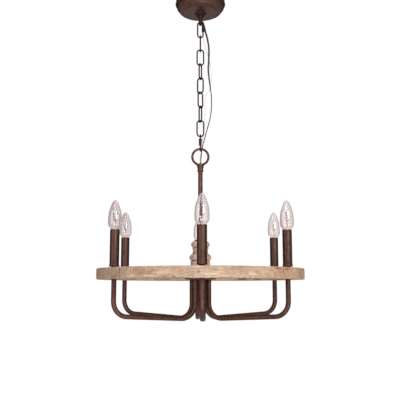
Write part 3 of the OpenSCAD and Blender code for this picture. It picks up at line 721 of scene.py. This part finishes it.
def collar():
    """Turned screw collar, tapering down from a small rim."""
    top, bottom = high("collar_ring").z, low("collar_ring").z
    r = high("collar_ring").x
    profile = [(STEM_HOLE, bottom), (r - 3.2 * MM, bottom)]
    profile += arc(r - 3.2 * MM, bottom + 0.8 * MM, 0.8 * MM, 270, 340, 4)
    profile += [(r - 0.7 * MM, top - 2.6 * MM)]
    profile += arc(r - 0.8 * MM, top - 1.2 * MM, 0.8 * MM, -60, 60, 6)
    profile += [(r - 1.0 * MM, top), (STEM_HOLE, top)]
    piece = lathe("screw_collar", profile, closed=True, steps=128)
    place(piece, "collar", CHAIN_BRONZE, "bronze", "collar_ring")


def hanging_loop():
    """Cast loop under the collar: a hollow stem, a cone below it and a heavy eye, whose inner
    face is rounded so that the first link can roll on it."""
    top, bottom = high("hanger_loop").z, low("hanger_loop").z
    stem_r = 12.7 * MM
    bore = 3.9 * MM
    thread_r = 5.1 * MM
    thread_end = top - 10 * MM
    shoulder = low("collar_ring").z
    cone_end = shoulder - 9.5 * MM
    profile = [(bore, cone_end), (5.6 * MM, cone_end)]
    profile += arc(5.8 * MM, cone_end + 1.4 * MM, 1.4 * MM, 280, 330, 4)
    profile += [(stem_r - 0.6 * MM, shoulder - 0.4 * MM), (stem_r, shoulder + 0.4 * MM)]
    profile += [(stem_r, top - 0.6 * MM), (stem_r - 0.6 * MM, top), (thread_r, top)]
    profile += [(thread_r, thread_end), (bore, thread_end)]
    place(lathe("loop_stem", profile, closed=True, steps=96), "ceiling_fixing", CHAIN_BRONZE, "bronze",
          "hanger_loop")
    bar = 7.6 * MM / 2
    bend = 9 * MM
    crown_room = 3.7 * MM  # how far the inner face may stand out where the first link rolls
    side_room = 0.8 * MM  # and how much more at the bar's sides
    roll = 30  # degrees that the link leans each way
    low_z = bottom + bar + bend
    path = [Vector((0, -bend, shoulder - 3 * MM)), Vector((0, -bend, shoulder - 8 * MM))]
    path += [Vector((0, y, z)) for y, z in arc(0, low_z, bend, 180, 360, 32)]
    path += [Vector((0, bend, shoulder - 8 * MM)), Vector((0, bend, shoulder - 3 * MM))]

    def section(i):
        wide = 4.6 * MM + 1.0 * MM * min(1, max(0, (path[i].z - bottom) / (22 * MM)))
        shape = []
        for x, y in [(wide * x, bar * y) for x, y in circle(1, 24)]:
            lean = math.degrees(math.atan2(abs(x), -y))
            room = crown_room + side_room * (max(lean - roll, 0) / (90 - roll)) ** 2
            fit = min(1, room / math.hypot(x, y)) if y < 0 else 1
            shape.append((x * fit, y * fit))
        return shape

    piece = sweep("loop_eye", path, section, [Vector((1, 0, 0))] * len(path))
    place(piece, "ceiling_fixing", CHAIN_BRONZE, "bronze", "hanger_loop")


# ---------------------------------------------------------------- chain


def oval(width, length, arc_steps=20, side_steps=2):
    """Points round an oval in the XZ plane, about its middle, starting down its right side."""
    r = (width - LINK_WIRE) / 2
    half = (length - width) / 2
    points = [Vector((r, 0, half - 2 * half * k / side_steps)) for k in range(side_steps)]
    points += [Vector((x, 0, z)) for x, z in arc(0, -half, r, 0, -180, arc_steps)[:-1]]
    points += [Vector((-r, 0, -half + 2 * half * k / side_steps)) for k in range(side_steps)]
    points += [Vector((x, 0, z)) for x, z in arc(0, half, r, 180, 0, arc_steps)[:-1]]
    return points


def link_place(k, points):
    """Points of link k moved and turned to their place in the chain."""
    yaw = math.radians(LINK_YAW[k - 1])
    middle = LINK_TOP - (k - 1) * LINK_PITCH - LINK_L / 2
    c, s = math.cos(yaw), math.sin(yaw)
    return [Vector((p.x * c - p.y * s, p.x * s + p.y * c, p.z + middle)) for p in points]


def link_side(k):
    """The way across link k, square to its flat."""
    return link_place(k, [Vector((0, 1, 0))])[0] - link_place(k, [Vector((0, 0, 0))])[0]


def plain_link(k):
    """Bent and welded oval link, with its weld a little proud half way down one side."""
    points = oval(23.5 * MM, LINK_L, side_steps=14)
    path = link_place(k, points)
    weld = 2.2 * MM
    proud = 0.07

    def wire(i):
        on_left = points[i].x < 0
        swell = math.exp(-((points[i].z / weld) ** 2)) if on_left else 0
        return circle(LINK_WIRE / 2 * (1 + proud * swell), 14)

    piece = sweep(f"chain_link_{k}", path, wire, [link_side(k)] * len(path), closed=True)
    place(piece, f"link_{k}", CHAIN_BRONZE, "bronze", f"link_{k}")


def quick_link(k, nut):
    """Link with a threaded opening in its right side, closed by a sleeve nut."""
    width = 20.5 * MM
    r = (width - LINK_WIRE) / 2
    half = (LINK_L - width) / 2
    gap_top = half - 1.5 * MM
    gap_bottom = gap_top - 7 * MM
    thread_end = half - 31 * MM
    pitch = 0.8 * MM
    depth = 0.25 * MM
    steps = int((gap_bottom - thread_end) / (0.2 * MM))
    sides = 16
    path = [Vector((r, 0, gap_bottom - n * 0.2 * MM)) for n in range(steps)] + [Vector((r, 0, -half))]
    path += [Vector((x, 0, z)) for x, z in arc(0, -half, r, 0, -180, 20)]
    path += [Vector((x, 0, z)) for x, z in arc(0, half, r, 180, 0, 20)]
    path += [Vector((r, 0, gap_top))]

    def wire(i):
        base = LINK_WIRE / 2
        if path[i].x < r - 1e-6 or path[i].z < thread_end or path[i].z > gap_bottom:
            return circle(base, sides)
        ring = []
        for n in range(sides):
            turn = (path[i].z / pitch + n / sides) % 1
            ridge = base - depth + depth * abs(2 * turn - 1)
            a = 2 * math.pi * n / sides
            ring.append((ridge * math.cos(a), ridge * math.sin(a)))
        return ring

    placed = link_place(k, path)
    piece = sweep(f"quick_link_{k}", placed, wire, [link_side(k)] * len(path), crease=40)
    place(piece, f"link_{k}", CHAIN_BRONZE, "bronze", f"link_{k}")
    sleeve_nut(k, nut, r, half - 0.5 * MM)


def sleeve_nut(k, nut, side_x, top):
    """Long nut on a quick link's side: round ends and a six-sided middle."""
    length = high(nut).z - low(nut).z
    bore = 2.4 * MM
    hexagon = 4.3 * MM
    stations = [(0, 3.5 * MM, True), (0.5 * MM, 4.2 * MM, True), (2.2 * MM, 4.3 * MM, True)]
    stations += [(3.0 * MM, hexagon, False)]
    stations += [(length - z, r, turned) for z, r, turned in reversed(stations)]
    middle = link_place(k, [Vector((side_x, 0, top))])[0]
    sides = 36

    def ring(z, radius, turned):
        corners = []
        for n in range(sides):
            a = 2 * math.pi * n / sides
            facet = math.cos(math.pi / 6) / math.cos((a % (math.pi / 3)) - math.pi / 6)
            reach = radius * (1 if turned else facet)
            corners.append(middle + Vector((reach * math.cos(a), reach * math.sin(a), -z)))
        return corners

    rings = [ring(*s) for s in stations]
    rings += [ring(length, bore, True), ring(0, bore, True)]
    corners, faces = rings_to_faces(rings, sides, True)
    place(solid(f"{nut}_hex", corners, faces, 25), nut, CHAIN_BRONZE, "bronze", nut)


# ---------------------------------------------------------------- ring, rod and hub


def hub():
    """Turned hub: two round beads with quirks, a neck, a waist, a cove and a foot."""
    top, bottom = high("hub").z, low("hub").z
    bead = 19.8 * MM / 2
    waist = 27.7 * MM
    foot = high("hub").x
    low_top = top - 36.8 * MM
    profile = [(ROD_HOLE, top), (16.5 * MM, top)]
    profile += arc(16.5 * MM, top - bead, bead, 90, -80, 16)
    profile += above(top, (23.6, -19.9), (23.2, -22.3), (22.0, -22.6), (21.7, -24), (21.7, -32.5))
    profile += above(top, (22.1, -34.3), (23.2, -34.5), (23.6, -36.7))
    profile += arc(31.25 * MM - bead, low_top - bead, bead, 84, -84, 18)
    profile += [(waist + 0.8 * MM, low_top - 20.2 * MM), (waist, low_top - 22 * MM), (waist, top - 70 * MM)]
    profile += arc(foot, bottom + 32.8 * MM, foot - waist, 180, 266, 12)
    profile += [(foot - 0.2 * MM, bottom + 18.6 * MM), (foot, bottom + 18.2 * MM)]
    profile += [(foot, bottom + 0.6 * MM), (foot - 0.6 * MM, bottom)]
    profile += above(bottom, (36.5, 0), (36.5, 15)) + [(ROD_HOLE, bottom + 15 * MM)]
    piece = lathe("turned_hub", profile, closed=True, steps=128)
    roughen(piece, 9 * MM, 0.25 * MM)
    grain_upright(piece)
    place(piece, "wheel", HUB_WOOD, "hub_wood", "hub")


def grain_upright(piece):
    """Grain that runs up a turned piece, with the tree's heart outside it."""
    store = piece.data.attributes.new("grain", "FLOAT_VECTOR", "POINT")
    for corner, entry in zip(piece.data.vertices, store.data):
        entry.vector = (corner.co.z, corner.co.x + 60 * MM, corner.co.y + 25 * MM)


def ring_and_neck():
    """Hanging ring with its trumpet neck."""
    r = high("hanging_ring").x
    wire = 6.8 * MM / 2
    top = high("hanging_ring").z
    points = [Vector((x, 0, z)) for x, z in arc(0, top - r, r - wire, 0, 360, 96)[:-1]]
    flat = [Vector((0, 1, 0))] * len(points)
    piece = sweep("hanging_ring_round", points, circle(wire, 24), flat, closed=True)
    roughen(piece, 7 * MM, 0.12 * MM)
    place(piece, "wheel", BRONZE, "bronze", "hanging_ring")
    neck_top = top - 2 * r + 2 * wire - 1 * MM
    profile = above(neck_top, (3.9, 0), (9.2, 0))
    profile += arc(9.3 * MM, neck_top - 1.2 * MM, 1.2 * MM, 80, 10, 5)
    profile += above(neck_top, (10.5, -4.8), (10.0, -6.4), (9.0, -9.5), (8.2, -12.6), (7.9, -15))
    profile += above(neck_top, (4.8, -15), (4.7, -29), (3.7, -29))
    neck = lathe("trumpet_neck", profile, closed=True, steps=64)
    place(neck, "wheel", BRONZE, "bronze", "hanging_ring")


def turned_disc(name, node, lower, end, bends, steps):
    """A metal disc round the rod: its upper edge broken, and its lower edge rounded by lower,
    in bends pieces down to the angle end."""
    top, bottom, r = high(node).z, low(node).z, high(node).x
    upper = 0.6 * MM
    profile = [(ROD_HOLE, top), (r - upper, top)] + arc(r - upper, top - upper, upper, 80, 0, 4)
    profile += arc(r - lower, bottom + lower, lower, 0, end, bends) + [(ROD_HOLE, bottom)]
    place(lathe(name, profile, closed=True, steps=steps), "wheel", BRONZE, "bronze", node)


def rod():
    """Rod with its collar."""
    top, bottom = high("rod").z, low("rod").z
    outside = [(ROD_BORE, top), (ROD_R, top), (ROD_R, bottom), (ROD_BORE, bottom)]
    place(lathe("hanging_rod", outside, closed=True, steps=48), "wheel", BRONZE, "bronze", "rod")
    turned_disc("rod_collar_turned", "rod_collar", 0.9 * MM, -80, 5, 64)


def hub_metal():
    """Cap on the hub and plate under it."""
    top, bottom = high("hub_cap").z, low("hub_cap").z
    r = high("hub_cap").x
    dome = 2.2 * MM
    profile = [(ROD_HOLE, bottom), (r, bottom)] + arc(r - dome, top - dome, dome, 0, 90, 6)
    profile += [(ROD_HOLE, top)]
    place(lathe("hub_cap_spun", profile, closed=True, steps=96), "wheel", BRONZE, "bronze", "hub_cap")
    turned_disc("hub_plate_cast", "hub_plate", 1.8 * MM, -85, 6, 128)


# ---------------------------------------------------------------- rim


def board_section():
    """Outline of a board: radius and height of each point, with 1 at a corner and 0 between."""
    rounding = 1.2 * MM
    steps_high, steps_wide = 9, 14
    left, right = RIM_R - RIM_W + rounding, RIM_R - rounding
    under, over = RIM_BOTTOM + rounding, RIM_TOP - rounding
    middles = [(right, under), (right, over), (left, over), (left, under)]
    bends = [arc(*at, rounding, 90 * n - 90, 90 * n, 4) for n, at in enumerate(middles)]
    points = []
    for n, steps in enumerate([steps_high, steps_wide] * 2):
        points += [(p, 1.0) for p in bends[n]]
        (r0, z0), (r1, z1) = bends[n][-1], bends[(n + 1) % 4][0]
        for k in range(1, steps):
            t = k / steps
            points.append(((r0 * (1 - t) + r1 * t, z0 * (1 - t) + z1 * t), 0.0))
    return points


def felloe(i):
    """One curved board of the rim, with worn edges and a hairline gap at each end."""
    steps = 110
    gap = math.degrees(0.25 * MM / RIM_R)
    sawn, worn, chipped, ends_in = 0.25 * MM, 0.5 * MM, 2.2 * MM, 0.35 * MM
    mid_r, mid_z = RIM_R - RIM_W / 2, (RIM_TOP + RIM_BOTTOM) / 2
    start = 90 * (i - 1) - 135
    outline = board_section()
    rings = []
    for k in range(steps + 1):
        a = math.radians(start + gap + (90 - 2 * gap) * k / steps)
        at_end = 1 if k in (0, steps) else 0
        middle = Vector((mid_r * math.cos(a), mid_r * math.sin(a), mid_z))
        ring = []
        for (r, z), corner in outline:
            at = Vector((r * math.cos(a), r * math.sin(a), z))
            wear = 0.5 + 0.5 * noise.noise(at / (11 * MM) + Vector((i, 0, 0)))
            chip = max(0, noise.noise(at / (5 * MM)) - 0.25)
            inward = sawn * (0.5 + 0.5 * noise.noise(at / (18 * MM)))
            inward += corner * (worn * wear + chipped * chip) + at_end * ends_in
            ring.append(at + (middle - at).normalized() * inward)
        rings.append(ring)
    corners, faces = rings_to_faces(rings, len(outline), False)
    piece = solid(f"rim_board_{i}", corners, faces, 60)
    turn = -math.radians(90 * (i - 1))
    store = piece.data.attributes.new("grain", "FLOAT_VECTOR", "POINT")
    for corner, entry in zip(piece.data.vertices, store.data):
        x, y = corner.co.x, corner.co.y
        along = x * math.cos(turn) - y * math.sin(turn)
        across = x * math.sin(turn) + y * math.cos(turn)
        entry.vector = (along + 0.9 * i, across + (0.33 + 0.02 * i), corner.co.z + 0.86 + 0.012 * i)
    place(piece, "wheel", RIM_WOOD, "rim_wood", f"felloe_{i}")


# ---------------------------------------------------------------- tubes


def candle_spot(i):
    """The middle of candle i's foot, the first in front."""
    a = math.radians(60 * (i - 1) - 90)
    return Vector((CANDLE_R * math.cos(a), CANDLE_R * math.sin(a), 0))


def bent_tube(i):
    """Tube bent twice: down from the rim, across below and up to the hub plate."""
    a = math.radians(60 * (i - 1) - 90)
    outer = candle_spot(i)
    inner = Vector((ARM_RING_R * math.cos(a + ARM_TURN), ARM_RING_R * math.sin(a + ARM_TURN), 0))
    span = (inner - outer).length
    heading = (inner - outer).normalized()
    slope = math.degrees(math.atan2(ARM_INNER_DROP - ARM_OUTER_DROP, span))
    first = ARM_BEND_R * math.tan(math.radians((90 - slope) / 2))
    second = ARM_BEND_R * math.tan(math.radians((90 + slope) / 2))
    flat = [(0, 0)]
    flat += arc(ARM_BEND_R, first - ARM_OUTER_DROP, ARM_BEND_R, 180, 270 - slope, 24)
    flat += arc(span - ARM_BEND_R, second - ARM_INNER_DROP, ARM_BEND_R, 270 - slope, 360, 24)
    flat += [(span, 0)]
    path = [outer + heading * x + Vector((0, 0, RIM_BOTTOM + z)) for x, z in flat]
    side = heading.cross(Vector((0, 0, 1)))
    piece = sweep(f"bent_tube_{i}", path, pressed_circle(ARM_R, 32), [side] * len(path))
    place(piece, "wheel", BRONZE, "bronze", f"arm_{i}")


# ---------------------------------------------------------------- candles and bulbs


def candle(i):
    """Foot, drip dish and sleeve of one candle."""
    at = candle_spot(i)
    base = RIM_TOP
    foot = above(base, (0, 0), (9, 0), (9, 1.3), (8.4, 1.9), (7.2, 2.6), (7.0, 3.6), (7.5, 4.6))
    foot += above(FOOT_TOP, (8.9, 0), (0, 0))
    place(lathe(f"candle_foot_{i}", foot, at, 40), "wheel", BRONZE, "bronze", "candle_feet")
    skirt = FOOT_TOP - 3.2 * MM
    dish = [(0, FOOT_TOP), (9.4 * MM, FOOT_TOP), (11.8 * MM, skirt + 0.3 * MM), (13.2 * MM, skirt)]
    dish += arc(14.0 * MM, skirt + 0.6 * MM, 0.6 * MM, -60, 60, 5) + [(12.95 * MM, FOOT_TOP - 0.6 * MM)]
    dish += [(12.7 * MM, DISH_TOP - 0.15 * MM), (0, DISH_TOP - 0.15 * MM)]
    place(lathe(f"drip_dish_{i}", dish, at, 48), "wheel", BRONZE, "bronze", "candle_dishes")
    r = SLEEVE_R
    wall = 1 * MM
    sleeve = [(r, DISH_TOP), (r, SLEEVE_TOP - 0.5 * MM)]
    sleeve += arc(r - 0.5 * MM, SLEEVE_TOP - 0.5 * MM, 0.5 * MM, 0, 180, 8)
    sleeve += [(r - wall, DISH_TOP)]
    place(lathe(f"candle_sleeve_{i}", sleeve, at, 64, closed=True), "wheel", SLEEVE_BRONZE, "candle_sleeve",
          f"sleeve_{i}")


GLASS_SHAPE = [
    (0.30, -0.04), (0.33, 0.03), (0.44, 0.10), (0.49, 0.16), (0.50, 0.26), (0.50, 0.36),
    (0.475, 0.48), (0.445, 0.60), (0.35, 0.73), (0.26, 0.86), (0.20, 0.92), (0.09, 0.98), (0, 1),
]
BULB_D = 36.6 * MM  # 1.4 mm wider than the solid, as the eye sees the glass
BULB_H = 78.5 * MM
GLASS_WALL = 0.8 * MM
HOLDER_TOP = SLEEVE_TOP - 6 * MM


def bulb(i):
    """Candle bulb: blown glass, a glass stem with its filament, and a screw base."""
    at = candle_spot(i)
    body = f"bulb_{i}"
    neck_z = HOLDER_TOP + 0.3 * MM
    curve = [Vector((x * BULB_D, SLEEVE_TOP + z * BULB_H, 0)) for x, z in GLASS_SHAPE]
    outside = [(5.5 * MM, neck_z)] + [(max(p.x, 0), p.y) for p in smooth(curve, 5)[:-1]]
    outside += [(0, curve[-1].y)]
    profile = outside + inner_wall(outside, GLASS_WALL)[::-1]
    glass = lathe(f"bulb_{i}_envelope", profile, at, 64, closed=True, crease=80)
    place(glass, body, GLASS, "bulb_glass", f"bulb_glass_{i}")
    stem_top = SLEEVE_TOP + 21 * MM
    stem = [(0, neck_z + 1 * MM), (4.4 * MM, neck_z + 1 * MM), (3.6 * MM, neck_z + 8 * MM)]
    stem += [(2.1 * MM, SLEEVE_TOP + 12 * MM), (1.6 * MM, stem_top - 3 * MM)]
    stem += arc(0, stem_top, 2.0 * MM, -40, 90, 6)
    place(lathe(f"bulb_{i}_stem", stem, at, 24, crease=60), body, STEM_GLASS, "bulb_glass")
    filament(i, at, stem_top)
    screw_base(i, at, neck_z)


def filament(i, at, stem_top):
    """Coiled tungsten in a zigzag round a cage of fine support wires."""
    body = f"bulb_{i}"
    reach = 6.5 * MM
    support_r, coil_r = 0.22 * MM, 0.35 * MM
    high_z = stem_top + 26 * MM
    low_z = stem_top + 6 * MM
    posts = []
    for n in range(5):
        a = math.radians(72 * n + 20 * i)
        level = high_z if n % 2 else low_z
        posts.append(Vector((at.x + reach * math.cos(a), at.y + reach * math.sin(a), level)))
    wires = []
    up = Vector((0, 0, 1))
    for n, post in enumerate(posts):
        root = Vector((at.x, at.y, stem_top))
        path = smooth([root, root.lerp(post, 0.5) + up * 2 * MM, post], 4)
        wires.append((f"support_{n + 1}", path, support_r))
    wires.append(("coil", smooth(posts, 6), coil_r))
    for name, path, radius in wires:
        side = Vector((0.31, 0.52, 0.1))
        piece = sweep(f"bulb_{i}_{name}", path, circle(radius, 6), [side] * len(path))
        place(piece, body, TUNGSTEN, "bulb_brass")


def screw_base(i, at, top):
    """Rolled brass screw shell, black insulator and solder tip."""
    body = f"bulb_{i}"
    bottom = low(f"bulb_base_{i}").z
    thread = []
    pitch = 2.5 * MM
    steps = 44
    shell_bottom = bottom + 5 * MM
    for k in range(steps + 1):
        z = top - 1 * MM - (top - 1 * MM - shell_bottom) * k / steps
        thread.append((5.55 * MM + 0.4 * MM * math.sin(2 * math.pi * z / pitch), z))
    shell = [(5.5 * MM, top)] + thread + above(shell_bottom, (4.2, -0.8), (0, -0.8))
    piece = lathe(f"bulb_{i}_screw_shell", shell, at, 40, crease=60)
    place(piece, body, BRASS, "bulb_brass", f"bulb_base_{i}")
    cone = [(4.2 * MM, shell_bottom - 0.8 * MM), (2.4 * MM, bottom + 1.4 * MM), (0, bottom + 1.4 * MM)]
    place(lathe(f"bulb_{i}_insulator", cone, at, 32), body, INSULATOR, "bulb_brass")
    tip = [(2.3 * MM, bottom + 1.45 * MM)] + arc(0, bottom + 1.45 * MM, 1.45 * MM, 0, -90, 6)
    place(lathe(f"bulb_{i}_tip", tip, at, 24), body, SOLDER, "bulb_brass")


# ---------------------------------------------------------------- the hidden fixing


def dress_fixing():
    """Finishes for the solids that show as they are."""
    finishes = {
        "crossbar": ZINC, "nipple": ZINC, "nipple_nuts": ZINC, "hub_nuts": BRONZE,
        "ground_screw": GREEN_PLATE, "lamp_holders": PORCELAIN,
        "felloe_dowels": DOWEL_WOOD,
    }
    for node, finish in finishes.items():
        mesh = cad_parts[node].data
        mesh.materials.clear()
        mesh.materials.append(finish)


# ---------------------------------------------------------------- the scene

camera()
lead("supply_cord", SUPPLY_ROUTE, twin_section(), LEAD_PVC, "supply_cord")
lead("ground_wire", GROUND_ROUTE, circle(GROUND_D / 2, 10), WIRE_PVC, "ground_wire")
studio()
dress_fixing()
canopy()
collar()
hanging_loop()
for number in range(2, 9):
    plain_link(number)
quick_link(1, "sleeve_nut_top")
quick_link(9, "sleeve_nut_bottom")
ring_and_neck()
rod()
hub()
hub_metal()
for number in FELLOES:
    felloe(number)
for number in CANDLES:
    bent_tube(number)
    candle(number)
    bulb(number)
